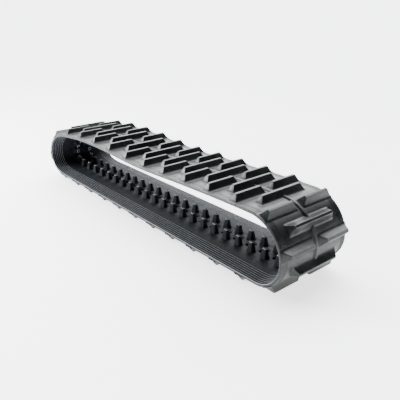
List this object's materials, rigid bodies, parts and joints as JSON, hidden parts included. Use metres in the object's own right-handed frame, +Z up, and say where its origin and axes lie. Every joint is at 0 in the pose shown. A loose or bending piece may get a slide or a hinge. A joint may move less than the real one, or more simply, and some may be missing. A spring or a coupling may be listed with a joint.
{
  "type": "rubber track",
  "caption": "Endless steel-cored rubber track standing as a long loop, with staggered ridge tread bars outside and two rows of guide horns inside.",
  "frame": {"origin": "on the ground under the middle of the loop's length", "axes": "+X along the track to the end with the fuller bend, +Y across it, +Z up"},
  "size_m": [2.264, 0.45, 0.417],
  "materials": {
    "tread_rubber": "moulded black rubber, light silicone sheen",
    "carcass_rubber": "moulded black rubber with fine lengthwise ribs",
    "breaker_ply": "rubberised bias cord fabric",
    "cord_belt": "brass-coated wound steel cord",
    "core_steel": "forged, shot blasted"
  },
  "bodies": {
    "lower_run_and_bends": {"breaker_ply_lower": "breaker_ply", "carcass_far_bend": "carcass_rubber", "carcass_lower_run": "carcass_rubber", "carcass_near_bend": "carcass_rubber", "cord_belt_left_lower": "cord_belt", "cord_belt_right_lower": "cord_belt", "guide_horns_far_bend": "carcass_rubber", "guide_horns_lower_run": "carcass_rubber", "guide_horns_near_bend": "carcass_rubber", "steel_cores_10": "core_steel", "steel_cores_11": "core_steel", "steel_cores_12": "core_steel", "steel_cores_13": "core_steel", "steel_cores_14": "core_steel", "steel_cores_15": "core_steel", "steel_cores_16": "core_steel", "steel_cores_17": "core_steel", "steel_cores_18": "core_steel", "steel_cores_19": "core_steel", "steel_cores_20": "core_steel", "steel_cores_21": "core_steel", "steel_cores_22": "core_steel", "steel_cores_23": "core_steel", "steel_cores_24": "core_steel", "steel_cores_25": "core_steel", "steel_cores_26": "core_steel", "tread_far_bend": "tread_rubber", "tread_lower_run": "tread_rubber", "tread_near_bend": "tread_rubber"},
    "upper_near": {"breaker_ply_upper_near": "breaker_ply", "carcass_upper_near": "carcass_rubber", "cord_belt_left_upper_near": "cord_belt", "cord_belt_right_upper_near": "cord_belt", "guide_horns_upper_near": "carcass_rubber", "steel_cores_01": "core_steel", "steel_cores_02": "core_steel", "steel_cores_03": "core_steel", "tread_upper_near": "tread_rubber"},
    "upper_middle": {"breaker_ply_upper_middle": "breaker_ply", "carcass_upper_middle": "carcass_rubber", "cord_belt_left_upper_middle": "cord_belt", "cord_belt_right_upper_middle": "cord_belt", "guide_horns_upper_middle": "carcass_rubber", "steel_cores_04": "core_steel", "steel_cores_05": "core_steel", "steel_cores_06": "core_steel", "tread_upper_middle": "tread_rubber"},
    "upper_far": {"breaker_ply_upper_far": "breaker_ply", "carcass_upper_far": "carcass_rubber", "cord_belt_left_upper_far": "cord_belt", "cord_belt_right_upper_far": "cord_belt", "guide_horns_upper_far": "carcass_rubber", "steel_cores_07": "core_steel", "steel_cores_08": "core_steel", "steel_cores_09": "core_steel", "tread_upper_far": "tread_rubber"}
  },
  "joints": [
    {"name": "near_crown_flex", "type": "hinge", "parent": "lower_run_and_bends", "child": "upper_near", "pos_m": [0.8377, 0, 0.36934], "axis": [0, 1, 0], "range_deg": [-3, 3], "stiffness_Nm_per_rad": 1500, "springref_deg": 2.23},
    {"name": "upper_run_flex", "type": "hinge", "parent": "upper_near", "child": "upper_middle", "pos_m": [0.29791, 0, 0.35563], "axis": [0, 1, 0], "range_deg": [-3, 3], "stiffness_Nm_per_rad": 1500, "springref_deg": -2.23},
    {"name": "far_crown_flex", "type": "hinge", "parent": "lower_run_and_bends", "child": "upper_far", "pos_m": [-0.78102, 0, 0.3445], "axis": [0, 1, 0], "range_deg": [-3, 3], "stiffness_Nm_per_rad": 1500, "springref_deg": -2.23}
  ],
  "couplings": [
    {"joint": "upper_run_flex", "follows": "near_crown_flex", "ratio": -1},
    {"joint": "far_crown_flex", "follows": "near_crown_flex", "ratio": -1}
  ]
}
